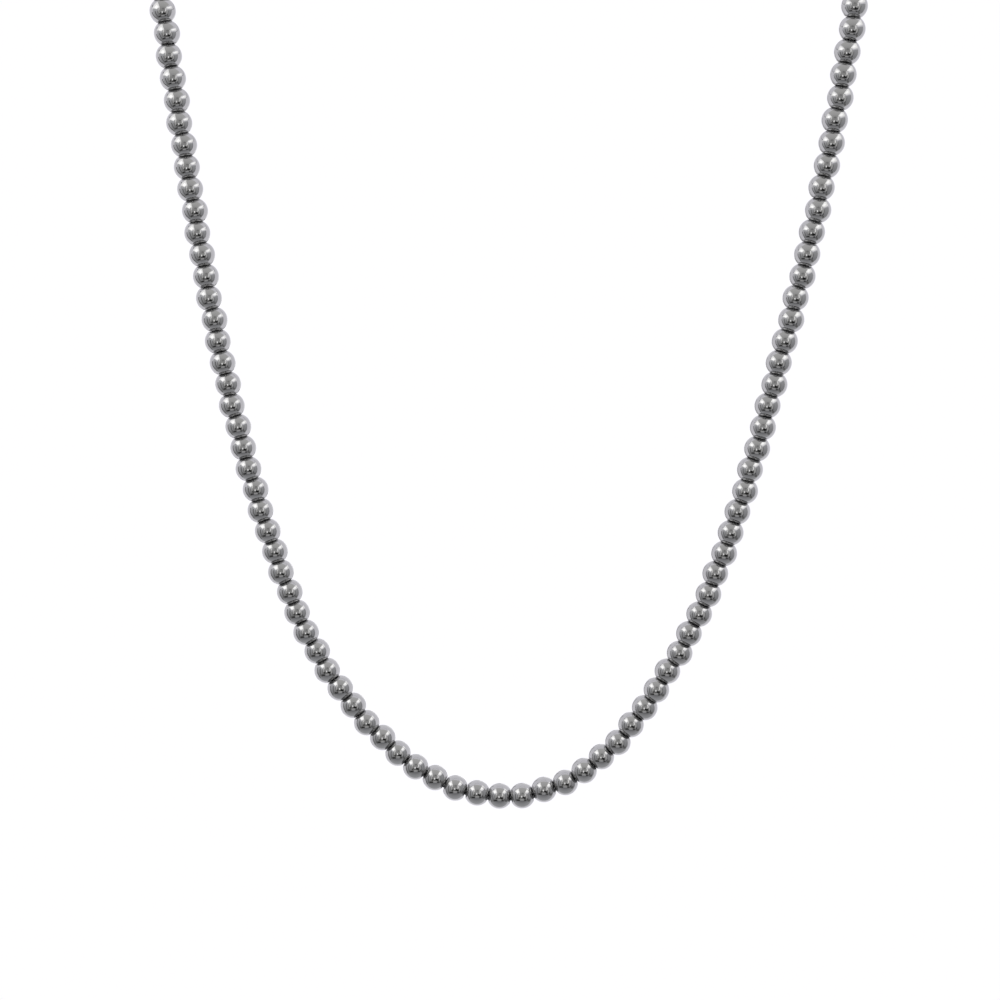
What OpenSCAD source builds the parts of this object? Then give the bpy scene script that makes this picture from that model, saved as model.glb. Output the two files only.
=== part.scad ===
// Necklace of polished metal balls, strung close together on a wire and closed by a barrel clasp.
// Millimetres. +Z is up, -Y is the front, and the string hangs in the plane at the low end of Y.
// The origin is the middle of the opening for the neck, at the height of the clasp at the nape.

/* [Loop] */
// Greatest width of the loop, between the middles of its two sides
loop_w = 138; // [120:2:160]
// Depth of the loop, from the plane of the front to the nape
loop_depth = 68; // [56:2:90]
// Height of the loop, from the nape down to the middle of the lowest ball
loop_drop = 178.5; // [150:0.5:220]

/* [Balls] */
// Diameter of each ball
bead_d = 5; // [4.6:0.1:5.4]
// Diameter of the flat on both drilled ends of a ball
flat_d = 2.84; // [2.6:0.02:3.2]
// Diameter of the hole drilled through each ball
bore_d = 2.2; // [1.9:0.1:2.4]
// Depth of the countersink at both mouths of the hole
sink_depth = 0.1; // [0.05:0.05:0.2]

/* [Wire] */
// Diameter of the stringing wire
wire_d = 1.8; // [1.2:0.1:2]

/* [Clasp] */
// Diameter of the clasp's barrel
clasp_d = 5; // [4:0.2:6]
// Length of the clasp
clasp_l = 14; // [11:0.5:18]
// Length of the bevel at each end of the clasp
bevel_l = 1.2; // [0.6:0.2:2]
// Depth of the socket that holds each end of the wire
socket_l = 3; // [2:0.5:4]

/* [Clearances] */
// Gap that neighbouring balls keep where they lie closest
bead_gap = 0.11; // [0.1:0.01:0.2]
// Gap that a ball keeps from the wire on the side where it hangs against it
rub_gap = 0.05; // [0.03:0.01:0.1]
// Gap between an end of the wire and the wall and floor of its socket
socket_gap = 0.05; // [0.03:0.01:0.1]

/* [Hidden] */

// The line of the string: back to front on the wearer's right, round the drop, and back on the left.
// The points keep their places on a loop of any width, depth and drop.
front_y = -34;
points = [
    [0, 34, 0],
    [-32, 28.5, 0],
    [-56.5, 14.5, 0],
    [-67.5, -3, 0],
    [-69.5, -20, -2.5],
    [-68, -31.5, -14],
    [-66, front_y, -29.5],
    [-63.5, front_y, -47.5],
    [-60.5, front_y, -67.5],
    [-57, front_y, -88],
    [-52.5, front_y, -108.5],
    [-46.5, front_y, -129.5],
    [-39.5, front_y, -147.5],
    [-30, front_y, -162],
    [-18.5, front_y, -173],
    [-9, front_y, -177.5],
    [1, front_y, -178.5],
    [11, front_y, -175.5],
    [20.5, front_y, -168],
    [28.5, front_y, -157],
    [36.5, front_y, -142.5],
    [42.5, front_y, -126.5],
    [47.5, front_y, -109.5],
    [51.5, front_y, -93],
    [56, front_y, -74.5],
    [60, front_y, -55],
    [64, front_y, -30.5],
    [66.5, -31.5, -14],
    [68.5, -20, -2.5],
    [67.5, -3, 0],
    [56.5, 14.5, 0],
    [32, 28.5, 0]
];
route = [for (p = points) [
    p.x * loop_w / (max(points * [1, 0, 0]) - min(points * [1, 0, 0])),
    p.y * loop_depth / (max(points * [0, 1, 0]) - front_y),
    p.z * loop_drop / -min(points * [0, 0, 1])
]];
// A point well inside the loop, which the first corner of every ring of the wire is turned from
hub = [0, 0, -loop_drop / 3];

$fn = 48;
curve_steps = 16;
wire_sides = 8;
cut_margin = 1;
// Neighbouring balls lean to sides of the wire that are this far round from each other
lean_turn = 137.5;

// A ball's length between its flats
bead_l = sqrt(pow(bead_d, 2) - pow(flat_d, 2));
// How far apart the joints of the string lie, with one that a bend has opened wide
pitch = bead_l + 4 * bead_gap;
socket_d = wire_d + 2 * socket_gap;
// How far a ball sits off the line of the wire, which is thinner than its hole
side_play = (bore_d - wire_d) / 2 - rub_gap;

function unit(v) = v / norm(v);

// One span of a smooth curve through the route's points, with knots spaced by the root of the distance
function mix(a, b, ta, tb, t) = ((tb - t) * a + (t - ta) * b) / (tb - ta);
function span(p, t1, t2, t3, t) = let (
    a = mix(p[0], p[1], 0, t1, t),
    b = mix(p[1], p[2], t1, t2, t),
    c = mix(p[2], p[3], t2, t3, t)
) mix(mix(a, b, 0, t2, t), mix(b, c, t1, t3, t), t1, t2, t);
function curve_point(i, share) = let (
    n = len(route),
    p = [for (k = [-1 : 2]) route[(i + k + n) % n]],
    t1 = sqrt(norm(p[1] - p[0])),
    t2 = t1 + sqrt(norm(p[2] - p[1])),
    t3 = t2 + sqrt(norm(p[3] - p[2]))
) span(p, t1, t2, t3, t1 + share * (t2 - t1));

// The closed curve as a fine line, and the length of string up to each of its points
line = [for (i = [0 : len(route)], k = [0 : i < len(route) ? curve_steps - 1 : 0])
    curve_point(i, k / curve_steps)];
runs = [for (i = 0, s = 0; i < len(line); s = s + norm(line[min(i + 1, len(line) - 1)] - line[i]),
    i = i + 1) s];
loop_l = runs[len(runs) - 1];
tables = [for (axis = [0 : 2]) [for (i = [0 : len(line) - 1]) [runs[i], line[i][axis]]]];
function at(s) = [for (table = tables) lookup((s + loop_l) % loop_l, table)];

// How far a joint must open for its bend, so that the inner rims keep bead_gap
function bend(u, v) = acos(min(1, unit(u) * unit(v)));
function opening(angle) = bead_gap + (flat_d + 2 * side_play) * sin(angle / 2);
function joint_gap(s) = opening(bend(at(s) - at(s - pitch), at(s + pitch) - at(s)));

// The joints between the balls, from one end of the clasp to the other
clasp_joint = clasp_l / 2 + bead_gap;
clasp_chord = at(clasp_joint) - at(-clasp_joint);
clasp_bends = [for (way = [-1, 1]) let (joint = way * clasp_joint)
    bend(clasp_chord, way * (at(joint + way * pitch) - at(joint)))];
clasp_gap = opening(max(clasp_bends));
// The curve is a little longer than the straight clasp that it passes through
first_joint = (clasp_l + clasp_gap) * clasp_joint / norm(clasp_chord);
last_joint = loop_l - first_joint;
function gap_at(s) = s <= first_joint || s >= last_joint ? clasp_gap : joint_gap(s);
function step(s, slack) = bead_l + slack + (gap_at(s) + gap_at(s + pitch)) / 2;
tight = [for (s = first_joint; s <= last_joint; s = s + step(s, 0)) s];
bead_count = len(tight) - 1;
// What is left over is shared by all the joints
slack = (last_joint - tight[bead_count]) / bead_count;
joints = [for (i = 0, s = first_joint; i <= bead_count; s = s + step(s, slack), i = i + 1)
    i < bead_count ? s : last_joint];
knots = [for (s = joints) at(s)];

// The middle and the axis of each ball
bead_places = [for (i = [0 : bead_count - 1]) let (
    chord = knots[i + 1] - knots[i],
    axis = unit(chord),
    shift = (gap_at(joints[i]) - gap_at(joints[i + 1])) / 4,
    side = unit(cross(axis, knots[i] - hub)),
    lean = cos(lean_turn * i) * side + sin(lean_turn * i) * cross(side, axis)
) [knots[i] + axis * (norm(chord) / 2 + shift) + side_play * lean, axis]];

clasp_axis = unit(knots[0] - knots[bead_count]);
clasp_middle = (knots[0] + knots[bead_count]) / 2;

module along(point, axis) {
    translate(point)
        rotate([0, acos(axis.z), atan2(axis.y, axis.x)])
            children();
}

module bead() {
    difference() {
        intersection() {
            sphere(d = bead_d);
            cylinder(d = bead_d + cut_margin, h = bead_l, center = true);
        }
        cylinder(d = bore_d, h = bead_l + cut_margin, center = true);
        // The countersinks are 45 degree cones that run on past the flats
        for (end = [0, 1])
            mirror([0, 0, end])
                translate([0, 0, bead_l / 2 - sink_depth])
                    cylinder(d1 = bore_d, d2 = bore_d + 4 * sink_depth, h = 2 * sink_depth);
    }
}

module bead_string() {
    color([0.6, 0.6, 0.62])
        for (place = bead_places)
            along(place[0], place[1])
                bead();
}

module wire() {
    reach = clasp_l / 2 - socket_l + socket_gap;
    core = concat(
        [clasp_middle + clasp_axis * reach],
        knots,
        [clasp_middle - clasp_axis * reach]
    );
    last = len(core) - 1;
    rings = [for (i = [0 : last]) let (
        heading = unit(core[min(i + 1, last)] - core[max(i - 1, 0)]),
        side = unit(cross(heading, core[i] - hub)),
        rise = cross(side, heading)
    ) for (k = [0 : wire_sides - 1]) let (a = 360 * k / wire_sides)
        core[i] + wire_d / 2 * (cos(a) * side + sin(a) * rise)];
    walls = [for (i = [0 : last - 1], k = [0 : wire_sides - 1]) let (
        a = i * wire_sides + k,
        b = i * wire_sides + (k + 1) % wire_sides
    ) each [[a, b, b + wire_sides], [a, b + wire_sides, a + wire_sides]]];
    ends = [
        [for (k = [wire_sides - 1 : -1 : 0]) k],
        [for (k = [0 : wire_sides - 1]) last * wire_sides + k]
    ];
    color([0.3, 0.3, 0.32])
        polyhedron(points = rings, faces = concat(walls, ends));
}

module clasp() {
    half = clasp_l / 2;
    color([0.6, 0.6, 0.62])
        along(clasp_middle, clasp_axis)
            difference() {
                rotate_extrude()
                    polygon([
                        [0, -half],
                        [flat_d / 2, -half],
                        [clasp_d / 2, bevel_l - half],
                        [clasp_d / 2, half - bevel_l],
                        [flat_d / 2, half],
                        [0, half]
                    ]);
                for (end = [0, 1])
                    mirror([0, 0, end])
                        translate([0, 0, half - socket_l])
                            cylinder(d = socket_d, h = socket_l + cut_margin);
            }
}

bead_string();
wire();
clasp();
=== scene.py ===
import math
import random

import bpy
import numpy as np
from mathutils import Matrix, Vector


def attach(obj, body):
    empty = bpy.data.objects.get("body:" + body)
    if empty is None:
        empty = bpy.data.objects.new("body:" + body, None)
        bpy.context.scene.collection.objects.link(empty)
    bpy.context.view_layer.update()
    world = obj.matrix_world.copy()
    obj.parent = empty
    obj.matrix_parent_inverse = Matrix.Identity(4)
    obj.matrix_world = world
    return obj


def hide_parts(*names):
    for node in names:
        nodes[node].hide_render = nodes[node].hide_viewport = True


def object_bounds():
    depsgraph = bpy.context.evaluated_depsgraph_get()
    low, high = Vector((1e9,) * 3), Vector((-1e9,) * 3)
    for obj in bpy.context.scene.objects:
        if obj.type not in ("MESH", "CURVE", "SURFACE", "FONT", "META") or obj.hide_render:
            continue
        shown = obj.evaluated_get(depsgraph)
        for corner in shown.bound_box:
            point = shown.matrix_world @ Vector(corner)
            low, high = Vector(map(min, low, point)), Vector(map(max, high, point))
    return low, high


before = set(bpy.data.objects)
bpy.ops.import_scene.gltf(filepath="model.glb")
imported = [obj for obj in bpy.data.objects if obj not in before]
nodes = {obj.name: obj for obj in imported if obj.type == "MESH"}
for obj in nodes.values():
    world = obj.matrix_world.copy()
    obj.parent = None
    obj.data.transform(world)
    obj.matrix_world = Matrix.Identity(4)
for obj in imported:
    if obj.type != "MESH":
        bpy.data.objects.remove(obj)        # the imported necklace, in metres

# A necklace of polished metal balls strung on a twisted wire, with a barrel clasp at the nape.
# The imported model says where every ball, the wire and the clasp lie. This script gives them their
# fine shapes and finishes. Lengths in the dictionaries are in millimetres, angles in degrees.

mm = 0.001
levelFace = 0.999             # a face is level from this much of Z in its normal
sameHeight = 0.001 * mm       # faces closer than this to a height lie at it
cadBox = [list(corner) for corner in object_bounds()]


def pick(*objects):
    if bpy.context.mode != "OBJECT":
        bpy.ops.object.mode_set(mode="OBJECT")
    bpy.ops.object.select_all(action="DESELECT")
    for each in objects:
        each.select_set(True)
    if objects:
        bpy.context.view_layer.objects.active = objects[0]


def unit(v):
    return v / np.linalg.norm(v)


def direction(azimuth, elevation):
    a, e = math.radians(azimuth), math.radians(elevation)
    return Vector((math.sin(a) * math.cos(e), -math.cos(a) * math.cos(e), math.sin(e)))


def standing(middle, axis, roll=0):
    # takes a shape from the origin to its middle, turned by roll and with its Z along the axis
    turn = Vector(axis).to_track_quat("Z", "Y").to_matrix().to_4x4()
    return Matrix.Translation(Vector(middle)) @ turn @ Matrix.Rotation(roll, 4, "Z")


def triangles(piece):
    return sum(len(face.vertices) - 2 for face in piece.data.polygons)


# Camera

cameraView = {
    "lookAt": (-1.9, -34, -119.5),    # the middle of the hanging front
    "azimuth": 4,                     # to the right of straight on
    "elevation": 7,                   # above the horizontal
    "distance": 418,
    "lens": 77.4,
    "sensorWidth": 36,
    "sees": (10, 20000),              # the nearest and the farthest that shows
}

lookAt = Vector(cameraView["lookAt"]) * mm
towardCamera = direction(cameraView["azimuth"], cameraView["elevation"])
pick()
bpy.ops.object.camera_add(location=lookAt + towardCamera * cameraView["distance"] * mm)
camera = bpy.context.object
camera.name = "camera"
camera.rotation_euler = towardCamera.to_track_quat("Z", "Y").to_euler()
camera.data.sensor_width = cameraView["sensorWidth"]
camera.data.lens = cameraView["lens"]
camera.data.clip_start = cameraView["sees"][0] * mm
camera.data.clip_end = cameraView["sees"][1] * mm
bpy.context.scene.camera = camera
bpy.context.scene.view_settings.view_transform = "Standard"
print("camera is set")


# Where the balls lie

packedBalls = {
    "merge": 0.001,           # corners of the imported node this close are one
    "flat": 0.99,             # a face is on a flat from this much of the hole's axis in its normal
}


def corners(mesh):
    points = np.empty(len(mesh.vertices) * 3)
    mesh.vertices.foreach_get("co", points)
    return points.reshape(-1, 3)


def looseParts(node):
    # a copy of the node, cut into its separate solids; the node itself stays as it is
    copy = node.copy()
    copy.data = node.data.copy()
    bpy.context.collection.objects.link(copy)
    pick(copy)
    bpy.ops.object.mode_set(mode="EDIT")
    bpy.ops.mesh.select_all(action="SELECT")
    bpy.ops.mesh.remove_doubles(threshold=packedBalls["merge"] * mm)
    bpy.ops.mesh.separate(type="LOOSE")
    bpy.ops.object.mode_set(mode="OBJECT")
    return list(bpy.context.selected_objects)


def measure(part):
    # the middle, the axis of the hole, the radius and half the length of one ball
    points = corners(part.data)
    count = len(part.data.polygons)
    ids = np.array([face.vertices[:] for face in part.data.polygons])
    a, b, c = (points[ids[:, k]] for k in range(3))
    # each face and the world's middle make a solid with four corners, and the ball is their sum
    volumes = np.einsum("ij,ij->i", a, np.cross(b, c))
    middle = ((a + b + c) * volumes[:, None]).sum(0) / volumes.sum() / 4
    normals, areas = np.empty(count * 3), np.empty(count)
    part.data.polygons.foreach_get("normal", normals)
    part.data.polygons.foreach_get("area", areas)
    normals = normals.reshape(-1, 3)
    # the normals have least of the hole's direction in them, and the two flats then give it exactly
    axis = np.linalg.eigh((normals * areas[:, None]).T @ normals)[1][:, 0]
    facing = normals @ axis
    flats = np.abs(facing) > packedBalls["flat"]
    axis = unit((normals[flats] * (areas[flats] * np.sign(facing[flats]))[:, None]).sum(0))
    away = points - middle
    return middle, axis, np.linalg.norm(away, axis=1).max(), np.abs(away @ axis).max()


def inOrder(balls, first):
    # from one ball always on to the nearest one that is left
    chain = [first]
    rest = [ball for ball in balls if ball is not first]
    while rest:
        nearest = min(rest, key=lambda ball: np.linalg.norm(ball[0] - chain[-1][0]))
        chain.append(nearest)
        rest = [ball for ball in rest if ball is not nearest]
    return chain


solids = looseParts(nodes["bead_string"])
balls = [measure(solid) for solid in solids]
for solid in solids:
    bpy.data.meshes.remove(solid.data)

# the string is followed from the clasp's left end round to its right end
claspPoints = corners(nodes["clasp"].data)
claspMiddle = (claspPoints.max(0) + claspPoints.min(0)) / 2
leftBalls = [ball for ball in balls if ball[0][0] < claspMiddle[0]]
chain = inOrder(balls, min(leftBalls, key=lambda ball: np.linalg.norm(ball[0] - claspMiddle)))
middles = np.array([ball[0] for ball in chain])
headings = np.vstack([
    middles[1:2] - middles[:1],
    middles[2:] - middles[:-2],
    middles[-1:] - middles[-2:-1],
])
axes = np.array([ball[1] * np.sign(ball[1] @ heading) for ball, heading in zip(chain, headings)])
ballRadius = float(np.median([ball[2] for ball in chain]))
ballHalf = float(np.median([ball[3] for ball in chain]))
print(len(chain), "balls found, radius", round(ballRadius / mm, 3), "mm,",
      "half length", round(ballHalf / mm, 3), "mm")


# Balls

ballShape = {
    "segments": 48,           # round the hole
    "rings": 24,              # from pole to pole
    "hole": 2.2,              # diameter of the drilled hole
    "countersink": 0.1,       # depth at both mouths of the hole
    "rimRound": 0.07,         # rounding where the ball meets its flats
    "rimSteps": 3,            # faces across that rounding
    "swell": 0.05,            # how far each flat stands out, so that neighbours nearly touch
    "smooth": 28,             # bends of less than this are shaded smooth
    "grimeAndShade": (1.95, 2.08),    # from the middle: where the painted shade between neighbouring balls, and grime, round the drilled ends begins and is full
    "nape": 3,                # balls further than this behind the plane of the front are the nape's
    "seed": 11,
}


def selectCap(mesh, way, height):
    bpy.ops.mesh.select_all(action="DESELECT")
    bpy.ops.object.mode_set(mode="OBJECT")
    for face in mesh.polygons:
        face.select = face.normal.z * way > levelFace and abs(face.center.z * way - height) < sameHeight
    bpy.ops.object.mode_set(mode="EDIT")


def makeBall(radius, half):
    shape = ballShape
    half = half + shape["swell"] * mm
    bpy.ops.mesh.primitive_uv_sphere_add(segments=shape["segments"], ring_count=shape["rings"], radius=radius)
    ball = bpy.context.object
    mesh = ball.data
    bpy.ops.object.mode_set(mode="EDIT")
    bpy.ops.mesh.select_mode(type="FACE")
    for way in (1, -1):       # both poles are cut off flat
        bpy.ops.mesh.select_all(action="SELECT")
        bpy.ops.mesh.bisect(plane_co=(0, 0, way * half), plane_no=(0, 0, way), use_fill=True,
                            clear_outer=True, threshold=0.1 * sameHeight)
    bpy.ops.mesh.select_all(action="DESELECT")
    bpy.ops.object.mode_set(mode="OBJECT")
    for face in mesh.polygons:
        face.select = abs(face.normal.z) > levelFace
    bpy.ops.object.mode_set(mode="EDIT")
    bpy.ops.mesh.region_to_loop()      # the two rims
    bpy.ops.mesh.bevel(offset=shape["rimRound"] * mm, segments=shape["rimSteps"], affect="EDGES")
    bpy.ops.mesh.select_mode(type="FACE")
    flat = math.sqrt(radius ** 2 - half ** 2) - shape["rimRound"] * mm
    mouth = (shape["hole"] / 2 + shape["countersink"]) * mm
    for way in (1, -1):       # each flat gets its countersink
        selectCap(mesh, way, half)
        bpy.ops.mesh.inset(thickness=flat - mouth)
        bpy.ops.mesh.inset(thickness=shape["countersink"] * mm)
        bpy.ops.transform.translate(value=(0, 0, -way * shape["countersink"] * mm))
    # the two sunk discs open into one hole
    sunk = half - shape["countersink"] * mm
    bpy.ops.mesh.select_all(action="DESELECT")
    bpy.ops.object.mode_set(mode="OBJECT")
    for face in mesh.polygons:
        face.select = abs(abs(face.center.z) - sunk) < sameHeight and abs(face.normal.z) > levelFace
    bpy.ops.object.mode_set(mode="EDIT")
    bpy.ops.mesh.bridge_edge_loops()
    bpy.ops.mesh.select_all(action="SELECT")
    bpy.ops.mesh.normals_make_consistent(inside=False)
    bpy.ops.object.mode_set(mode="OBJECT")
    bpy.ops.object.shade_smooth_by_angle(angle=math.radians(shape["smooth"]))
    return ball


def stretchOf(middle):
    if middle[1] > frontPlane + ballShape["nape"] * mm:
        return "beadsNape"
    return "beadsLeft" if middle[0] < 0 else "beadsRight"


pick()
pattern = makeBall(ballRadius, ballHalf)
# painted shade and grime: each ball's colour darkens towards its flats, where neighbours meet
heights = np.abs(corners(pattern.data)[:, 2]) / mm
grimeAndShade = pattern.data.attributes.new("grimeAndShade", "FLOAT", "POINT")
grimeAndShade.data.foreach_set("value", np.interp(heights, ballShape["grimeAndShade"], (0, 1)))
dice = random.Random(ballShape["seed"])
strings = {"beadsLeft": [], "beadsRight": [], "beadsNape": []}
frontPlane = float(middles[:, 1].min())
for middle, axis in zip(middles, axes):
    mesh = pattern.data.copy()
    mesh.transform(standing(middle, axis, dice.uniform(0, 2 * math.pi)))
    tone = mesh.attributes.new("ballTone", "FLOAT", "POINT")
    tone.data.foreach_set("value", [dice.random()] * len(mesh.vertices))
    copy = bpy.data.objects.new("ball", mesh)
    bpy.context.collection.objects.link(copy)
    strings[stretchOf(middle)].append(copy)
bpy.data.meshes.remove(pattern.data)
beadPieces = []
for name, copies in strings.items():
    pick(*copies)
    bpy.ops.object.join()
    piece = bpy.context.object
    piece.name = piece.data.name = name
    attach(piece, "root")
    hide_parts("bead_string")
    beadPieces.append(piece)
    print(name, len(copies), "balls,", triangles(piece), "triangles")


# Wire

wireShape = {
    "across": 1.8,            # the whole wire, three strands side by side
    "strands": 6,             # laid round one straight core
    "lay": 11,                # length of one turn of a strand
    "step": 0.7,              # between points along a strand
    "roundness": 1,           # bevel resolution of a strand
    "smooth": 60,             # bends of less than this are shaded smooth
    "jointFrom": 0.1,         # from a ball's flat out to the middle of the joint
    "knotReach": 1.5,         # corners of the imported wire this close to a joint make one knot
}

wirePoints = corners(nodes["wire"].data)
reach = ballHalf + wireShape["jointFrom"] * mm
before, after = middles - axes * reach, middles + axes * reach
joints = [before[0]] + [(a + b) / 2 for a, b in zip(after, before[1:])] + [after[-1]]
knots, taken = [], np.zeros(len(wirePoints), bool)
for joint in joints:
    near = np.linalg.norm(wirePoints - joint, axis=1) < wireShape["knotReach"] * mm
    knots.append(wirePoints[near].mean(0) if near.any() else joint)
    taken |= near
ends = wirePoints[~taken]      # the two ends inside the clasp
atStart = (ends - claspMiddle) @ unit(knots[-1] - knots[0]) < 0
knots = np.array([ends[atStart].mean(0)] + knots + [ends[~atStart].mean(0)])
runs = np.concatenate([[0], np.cumsum(np.linalg.norm(np.diff(knots, axis=0), axis=1))])
print("wire runs", round(runs[-1] / mm, 1), "mm through", len(knots), "knots")
stations = np.linspace(0, runs[-1], round(runs[-1] / (wireShape["step"] * mm)))
path = np.stack([np.interp(stations, runs, knots[:, k]) for k in range(3)], 1)
hub = np.array([0, 0, cadBox[0][2] / 3])       # well inside the loop; the strands' turns are counted from it
strandRadius = wireShape["across"] * mm / 6


def makeStrand(name, turns):
    # turns is how far round the core the strand starts, or None for the core itself
    data = bpy.data.curves.new(name, "CURVE")
    data.dimensions = "3D"
    data.bevel_depth = strandRadius
    data.bevel_resolution = wireShape["roundness"]
    data.use_fill_caps = True
    spline = data.splines.new("POLY")
    spline.points.add(len(path) - 1)
    heading = np.gradient(path, axis=0)
    for i, (point, ahead) in enumerate(zip(path, heading)):
        if turns is not None:
            out = unit(np.cross(ahead, point - hub))
            up = unit(np.cross(out, ahead))
            angle = 2 * math.pi * (stations[i] / (wireShape["lay"] * mm) + turns)
            point = point + 2 * strandRadius * (math.cos(angle) * out + math.sin(angle) * up)
        spline.points[i].co = (*point, 1)
    strand = bpy.data.objects.new(name, data)
    bpy.context.collection.objects.link(strand)
    return strand


strands = [makeStrand("core", None)]
strands += [makeStrand("strand", k / wireShape["strands"]) for k in range(wireShape["strands"])]
pick(*strands)
bpy.ops.object.convert(target="MESH")
bpy.ops.object.join()
cable = bpy.context.object
cable.name = cable.data.name = "twistedWire"
bpy.ops.object.shade_smooth_by_angle(angle=math.radians(wireShape["smooth"]))
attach(cable, "root")
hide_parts("wire")
print("wire", triangles(cable), "triangles")


# Clasp

claspShape = {
    "length": 14,
    "diameter": 5,
    "bevel": 1.2,             # length of the bevel at each end
    "mouth": 2.84,            # diameter of the flat ends
    "socket": 1.9,            # diameter of the hole for the wire
    "depth": 3,               # depth of that hole
    "edge": 0.22,             # rounding of the edges
    "edgeSteps": 4,           # faces across that rounding
    "sharp": 20,              # bends of more than this are rounded
    "smooth": 28,             # bends of less than this are shaded smooth
    "sides": 64,
}


def makeClasp():
    shape = claspShape
    half, bevel = shape["length"] / 2 * mm, shape["bevel"] * mm
    taper = shape["mouth"] / shape["diameter"]
    bpy.ops.mesh.primitive_cylinder_add(vertices=shape["sides"], radius=shape["diameter"] / 2 * mm,
                                        depth=2 * (half - bevel))
    clasp = bpy.context.object
    mesh = clasp.data
    bpy.ops.object.mode_set(mode="EDIT")
    bpy.ops.mesh.select_mode(type="FACE")
    for way in (1, -1):       # the bevelled ends
        selectCap(mesh, way, half - bevel)
        bpy.ops.mesh.extrude_region_move(TRANSFORM_OT_translate={"value": (0, 0, way * bevel)})
        bpy.ops.transform.resize(value=(taper, taper, 1))
    bpy.ops.mesh.select_mode(type="EDGE")
    bpy.ops.mesh.select_all(action="DESELECT")
    bpy.ops.mesh.edges_select_sharp(sharpness=math.radians(shape["sharp"]))
    bpy.ops.mesh.bevel(offset=shape["edge"] * mm, segments=shape["edgeSteps"], affect="EDGES")
    bpy.ops.mesh.select_mode(type="FACE")
    for way in (1, -1):       # the sockets for the wire
        selectCap(mesh, way, half)
        face = next(face for face in mesh.polygons if face.normal.z * way > levelFace)
        inner = min(math.hypot(*mesh.vertices[i].co[:2]) for i in face.vertices)
        bpy.ops.mesh.inset(thickness=inner - shape["socket"] / 2 * mm)
        bpy.ops.mesh.extrude_region_move(
            TRANSFORM_OT_translate={"value": (0, 0, -way * shape["depth"] * mm)})
    bpy.ops.mesh.select_all(action="SELECT")
    bpy.ops.mesh.normals_make_consistent(inside=False)
    bpy.ops.object.mode_set(mode="OBJECT")
    bpy.ops.object.shade_smooth_by_angle(angle=math.radians(shape["smooth"]))
    return clasp


pick()
clasp = makeClasp()
clasp.data.transform(standing(claspMiddle, unit(knots[1] - knots[-2])))
clasp.name = clasp.data.name = "barrelClasp"
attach(clasp, "root")
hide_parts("clasp")
print("clasp", triangles(clasp), "triangles")


# Finishes

steelFinish = {
    "colour": (0.46, 0.459, 0.463),
    "shadedAndGrimy": (0.32, 0.32, 0.32),        # round the drilled ends of the balls: painted shade where neighbours meet, and grime
    "smearScale": 420,
    "smearDetail": 3,
    "smearRange": (0.35, 0.7),           # values of the noise where the metal is clean and fully smeared
    # turns of the three sets of scratches, in radians
    "scratchTurns": ((0.3, 0.2, 0.9), (1.2, 0.9, 2.1), (2.2, 0.4, 0.2)),
    "scratchSize": (9, 5, 0.36),         # how far the noise of a set is stretched each way
    "scratchAt": 0.62,                   # value of the noise where a scratch lies
    "scratchWidth": 0.006,               # and how far from it the scratch ends
    # lowest roughness, and how much of it the smears and the scratches add
    "balls": {"roughness": 0.03, "smears": 0.02, "scratches": 0.12},
    "clasp": {"roughness": 0.04, "smears": 0.02, "scratches": 0.1},
}


def newMaterial(name):
    material = bpy.data.materials.new(name)
    material.use_nodes = True
    return material, material.node_tree.nodes, material.node_tree.links


def noise(made, links, coords, scale, detail):
    texture = made.new("ShaderNodeTexNoise")
    texture.inputs["Scale"].default_value = scale
    texture.inputs["Detail"].default_value = detail
    links.new(coords, texture.inputs["Vector"])
    return texture.outputs["Fac"]


def reckon(made, links, operation, *values):
    # a Math node; each value is a number or another node's output
    node = made.new("ShaderNodeMath")
    node.operation = operation
    for k, value in enumerate(values):
        if isinstance(value, (int, float)):
            node.inputs[k].default_value = value
        else:
            links.new(value, node.inputs[k])
    return node.outputs["Value"]


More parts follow.
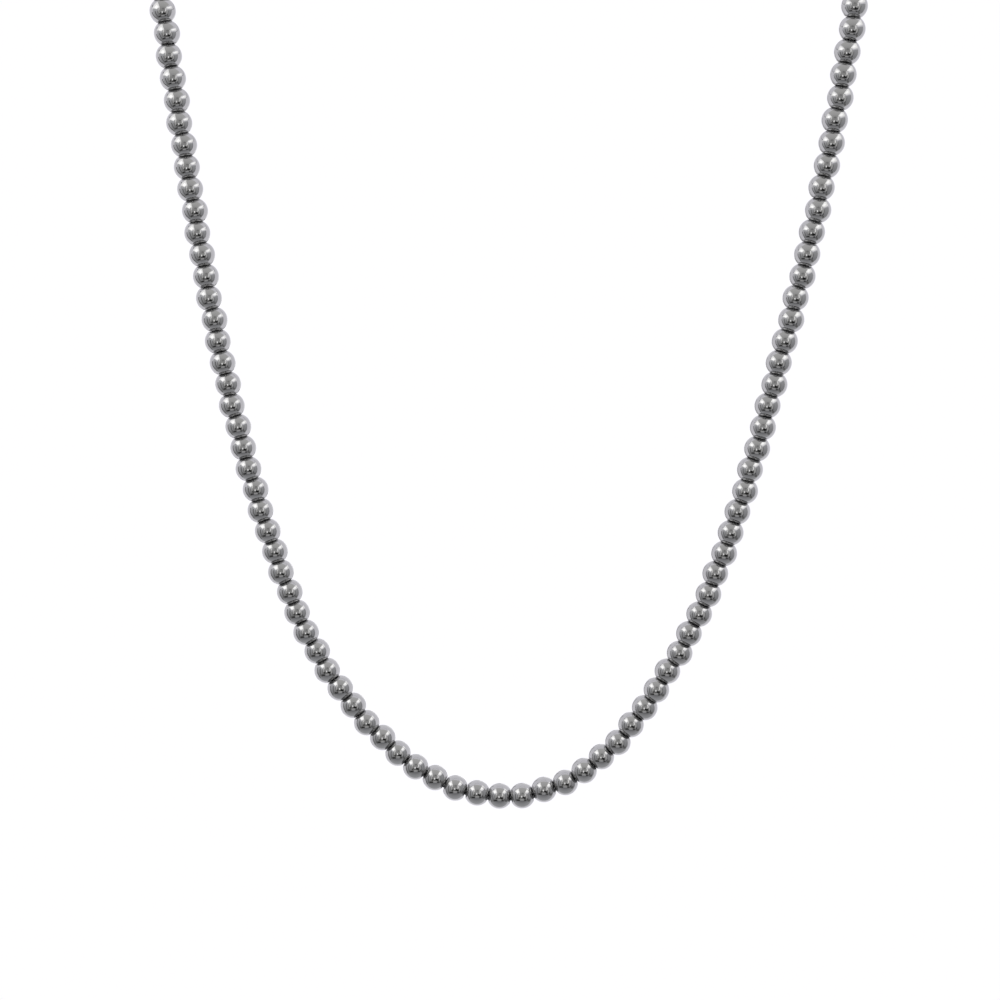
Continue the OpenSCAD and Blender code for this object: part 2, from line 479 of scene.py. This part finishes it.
def polishedSteel(name, roughness, smears, scratches, perBall):
    # mirror polish with faint smears and hair-fine scratches from handling
    steel = steelFinish
    material, made, links = newMaterial(name)
    shader = made["Principled BSDF"]
    shader.inputs["Base Color"].default_value = (*steel["colour"], 1)
    shader.inputs["Metallic"].default_value = 1
    coords = made.new("ShaderNodeTexCoord").outputs["Object"]
    level = made.new("ShaderNodeMapRange")
    level.inputs["From Min"].default_value = steel["smearRange"][0]
    level.inputs["From Max"].default_value = steel["smearRange"][1]
    level.inputs["To Min"].default_value = roughness
    level.inputs["To Max"].default_value = roughness + smears
    links.new(noise(made, links, coords, steel["smearScale"], steel["smearDetail"]), level.inputs["Value"])
    rough = level.outputs["Result"]
    if perBall:
        # darker round the drilled ends: painted shade where neighbouring balls meet, and grime
        shadeAndGrimeMask = made.new("ShaderNodeAttribute")
        shadeAndGrimeMask.attribute_name = "grimeAndShade"
        shades = made.new("ShaderNodeMix")
        shades.data_type = "RGBA"
        shades.inputs["A"].default_value = (*steel["colour"], 1)
        shades.inputs["B"].default_value = (*steel["shadedAndGrimy"], 1)
        links.new(shadeAndGrimeMask.outputs["Fac"], shades.inputs["Factor"])
        links.new(shades.outputs["Result"], shader.inputs["Base Color"])
        # and a roughness of its own for each ball
        tone = made.new("ShaderNodeAttribute")
        tone.attribute_name = "ballTone"
        rough = reckon(made, links, "MULTIPLY_ADD", tone.outputs["Fac"], smears, rough)
    # scratches: thin bands where stretched noise crosses one value
    lines = None
    for turn in steel["scratchTurns"]:
        place = made.new("ShaderNodeMapping")
        place.vector_type = "TEXTURE"      # turned first, then stretched
        place.inputs["Rotation"].default_value = turn
        place.inputs["Scale"].default_value = [size * mm for size in steel["scratchSize"]]
        links.new(coords, place.inputs["Vector"])
        hairs = noise(made, links, place.outputs["Vector"], 1, 1)
        band = reckon(made, links, "COMPARE", hairs, steel["scratchAt"], steel["scratchWidth"])
        lines = band if lines is None else reckon(made, links, "MAXIMUM", lines, band)
    rough = reckon(made, links, "MULTIPLY_ADD", lines, scratches, rough)
    links.new(rough, shader.inputs["Roughness"])
    return material


ballSteel = polishedSteel("polishedSteel", **steelFinish["balls"], perBall=True)
for piece in beadPieces:
    piece.data.materials.append(ballSteel)
clasp.data.materials.append(polishedSteel("polishedClaspSteel", **steelFinish["clasp"], perBall=False))

wireFinish = {
    "grimeScale": 700,
    "grimeDetail": 4,
    "grimy": (0.35, (0.13, 0.13, 0.135)),     # value of the noise, and the colour there
    "worn": (0.7, (0.34, 0.34, 0.35)),
    "roughness": (0.3, 0.5),
}


def dullWire():
    wire = wireFinish
    material, made, links = newMaterial("dullWire")
    shader = made["Principled BSDF"]
    shader.inputs["Metallic"].default_value = 1
    coords = made.new("ShaderNodeTexCoord").outputs["Object"]
    grimeAndShade = noise(made, links, coords, wire["grimeScale"], wire["grimeDetail"])
    ramp = made.new("ShaderNodeValToRGB")
    for stop, (position, colour) in zip(ramp.color_ramp.elements, (wire["grimy"], wire["worn"])):
        stop.position = position
        stop.color = (*colour, 1)
    links.new(grimeAndShade, ramp.inputs["Fac"])
    links.new(ramp.outputs["Color"], shader.inputs["Base Color"])
    level = made.new("ShaderNodeMapRange")
    level.inputs["To Min"].default_value = wire["roughness"][0]
    level.inputs["To Max"].default_value = wire["roughness"][1]
    links.new(grimeAndShade, level.inputs["Value"])
    links.new(level.outputs["Result"], shader.inputs["Roughness"])
    return material


cable.data.materials.append(dullWire())
print("finishes are made")


# Studio

# Cards that only the metal sees. The rows of "cards" are laid out from the point that the camera looks
# at: across, up and toward the viewer. Each has the card's middle, half its length, half its width, its
# brightness at the start and the end of its width, and its tint.
# The rows of "spots" are laid out as that point sees the camera: degrees to the right of it and above
# it, half the width and half the height in degrees, distance, brightness and form. Rows near 180
# degrees lie behind the necklace. They are all in the spots' own tint.
studio = {
    "floorDrop": 240,         # from the lowest ball down to the floor
    "floorSize": 8000,
    "white": (1.01, 1.0, 1.05),
    "tints": {"warm": (1, 0.995, 0.98), "cool": (0.995, 1, 1.03)},
    "spotTint": "warm",
    "roundSides": 48,         # of a round spot
    "cards": {
        "wallLeft": ((-330, -60, 235), (0, 0, 200), (0, 230, 0), 0.3, 0.76, "cool"),
        "wallRight": ((410, -70, 200), (0, 0, 275), (0, 240, 0), 0.32, 0.55, "cool"),
        "lightLeft": ((-282, 225, 180), (0, 0, 175), (117, 65, 0), 1.8, 1.6, "warm"),
        "coreLeft": ((-262, 227, 182), (0, 0, 85), (54, 30, 0), 2.3, 2.2, "warm"),
        "lightRight": ((375, 270, 98), (0, 0, 222), (-145, 8, 0), 1.5, 1.75, "warm"),
        "coreRight": ((325, 266, 108), (0, 0, 95), (-58, 3, 0), 1.9, 2.2, "warm"),
        "ceiling": ((40, 455, 210), (330, 0, 0), (0, 0, 230), 0.74, 0.62, "warm"),
        "front": ((40, 90, 455), (390, 0, 0), (0, 380, 0), 0.3, 0.6, "warm"),
        "tableTop": ((40, -256, 115), (380, 0, 0), (0, 0, 175), 0.6, 0.21, "cool"),
        "tableEdge": ((10, -273, 372), (400, 0, 0), (0, -17, 84), 0.46, 0.5, "cool"),
    },
    "spots": {
        "darkArch": ((1, -23), (33, 14.5), 415, 0.1, "round"),
        "brightPatch": ((-2, -36.5), (17, 6.5), 280, 0.52, "round"),
        "archLeft": ((-15, -22), (6, 10), 408, 0.24, "round"),
        "blackSpot": ((17, -20), (12, 8), 400, 0.02, "round"),
        "brightDot": ((-5, -9), (6, 9), 402, 1.4, "round"),
        "softPatch": ((20, -5), (8, 5.5), 412, 0.64, "round"),
        "footRight": ((33, -44), (10, 10), 372, 0.1, "round"),
        "footLeft": ((-49, -43.5), (21, 10), 378, 0.06, "round"),
        "darkRight": ((75, -41), (14, 9), 350, 0.2, "round"),
        "clipLeft": ((-98, 38), (3, 3), 300, 0.05, "round"),
        "strokeRight": ((54, -30), (4, 9), 402, 0.08, "square"),
        "streakFar": ((-96, -18), (5, 30), 300, 0.2, "square"),
        "streakNear": ((-66, -20), (5, 30), 300, 0.22, "square"),
        "streakInner": ((-47, -10), (3.5, 15), 390, 0.33, "square"),
        "slitLeft": ((-29.5, 11.5), (5, 17.5), 515, 1.1, "square"),
        "lineLeft": ((-33, -4), (2, 12), 405, 0.95, "square"),
        "lineRight": ((22, -5), (2, 8), 405, 0.9, "square"),
        "streakRight": ((55, -6), (3.5, 13), 398, 0.3, "square"),
        "slitRight": ((29, 11), (4.5, 13.5), 515, 1.4, "square"),
        "bandRight": ((43, -6), (5, 20), 425, 0.65, "square"),
        "dimAbove": ((4, 21), (11, 8), 428, 0.33, "round"),
        "backDark": ((180, -6), (15, 15), 420, 0.25, "round"),
        "backLight": ((172, 6), (6, 11), 405, 1.3, "round"),
        "backPatch": ((184, -17), (13, 5), 405, 0.45, "round"),
        "backStrip": ((207, 0), (4, 26), 410, 0.3, "square"),
    },
}


def glow(name, colour, low, high):
    # brightness runs from low to high across the card
    material, made, links = newMaterial(name)
    made.remove(made["Principled BSDF"])
    shine = made.new("ShaderNodeEmission")
    shine.inputs["Color"].default_value = (*colour, 1)
    shine.inputs["Strength"].default_value = high
    if low != high:
        coords = made.new("ShaderNodeTexCoord")
        split = made.new("ShaderNodeSeparateXYZ")
        level = made.new("ShaderNodeMapRange")
        level.inputs["To Min"].default_value = low
        level.inputs["To Max"].default_value = high
        links.new(coords.outputs["Generated"], split.inputs["Vector"])
        links.new(split.outputs["Y"], level.inputs["Value"])
        links.new(level.outputs["Result"], shine.inputs["Strength"])
    links.new(shine.outputs["Emission"], made["Material Output"].inputs["Surface"])
    return material


def hang(card, name, middle, along, across, low, high, tint):
    # the card is made with 1 as its half sizes, and its own X and Y become along and across
    normal = along.cross(across).normalized()
    columns = [(*v, 0) for v in (along, across, normal)] + [(*middle, 1)]
    card.matrix_world = Matrix(columns).transposed()
    card.name = name
    card.data.materials.append(glow(name, studio["tints"][tint], low, high))
    card.visible_camera = False


for name, (middle, along, across, low, high, tint) in studio["cards"].items():
    pick()
    bpy.ops.mesh.primitive_plane_add(size=2)
    middle, along, across = (Vector((v[0], -v[2], v[1])) * mm for v in (middle, along, across))
    hang(bpy.context.object, name, lookAt + middle, along, across, low, high, tint)

cameraTurn = camera.rotation_euler.to_matrix()
for name, (place, half, away, brightness, form) in studio["spots"].items():
    pick()
    if form == "round":
        bpy.ops.mesh.primitive_circle_add(vertices=studio["roundSides"], radius=1, fill_type="NGON")
    else:
        bpy.ops.mesh.primitive_plane_add(size=2)
    a, e = (math.radians(x) for x in place)
    toCard = Vector((math.sin(a) * math.cos(e), math.sin(e), math.cos(a) * math.cos(e)))
    along = Vector((math.cos(a), 0, -math.sin(a)))
    across = toCard.cross(along)
    sizes = [math.tan(math.radians(x)) * away * mm for x in half]
    hang(bpy.context.object, name, lookAt + cameraTurn @ toCard * away * mm,
         cameraTurn @ along * sizes[0], cameraTurn @ across * sizes[1],
         brightness, brightness, studio["spotTint"])

pick()
lowest = cadBox[0][2] - studio["floorDrop"] * mm
bpy.ops.mesh.primitive_plane_add(size=studio["floorSize"] * mm, location=(0, 0, lowest))
floor = bpy.context.object
floor.name = "floor"
floor.data.materials.append(glow("paleFloor", studio["white"], 1, 1))

world = bpy.data.worlds.new("whiteSurround")
bpy.context.scene.world = world
world.use_nodes = True
surround = world.node_tree.nodes["Background"]
surround.inputs["Color"].default_value = (*studio["white"], 1)
surround.inputs["Strength"].default_value = 1
print("studio is lit")
